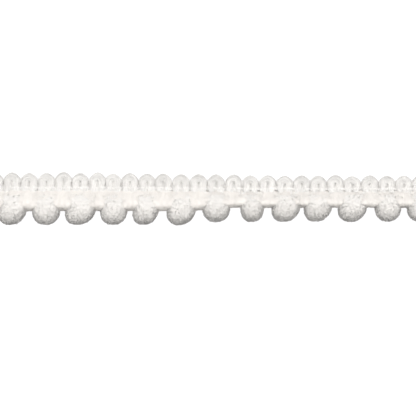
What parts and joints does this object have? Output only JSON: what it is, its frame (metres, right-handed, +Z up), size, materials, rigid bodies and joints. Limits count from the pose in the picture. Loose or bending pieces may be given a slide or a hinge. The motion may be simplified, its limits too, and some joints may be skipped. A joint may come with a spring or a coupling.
{
  "type": "pompom fringe trim",
  "caption": "Cut length of narrow trimming: a knitted looped heading with a soft footing that carries a row of small cut-pile pompoms.",
  "frame": {"origin": "middle of the footprint, on the surface that the trim lies on", "axes": "+X along the trim, +Y from the pompoms to the looped edge, +Z up out of the face"},
  "size_m": [0.1196, 0.013, 0.0064],
  "materials": {
    "knitted_yarn": "soft matt yarn, off-white",
    "footing_pile": "short brushed pile, warm off-white",
    "pompom_pile": "dense cut pile, warm off-white"
  },
  "bodies": {
    "root": {"heading": "knitted_yarn", "footing": "footing_pile", "pompom_01": "pompom_pile", "pompom_02": "pompom_pile", "pompom_03": "pompom_pile", "pompom_04": "pompom_pile", "pompom_05": "pompom_pile", "pompom_06": "pompom_pile", "pompom_07": "pompom_pile", "pompom_08": "pompom_pile", "pompom_09": "pompom_pile", "pompom_10": "pompom_pile", "pompom_11": "pompom_pile", "pompom_12": "pompom_pile", "pompom_13": "pompom_pile", "pompom_14": "pompom_pile"}
  },
  "joints": []
}
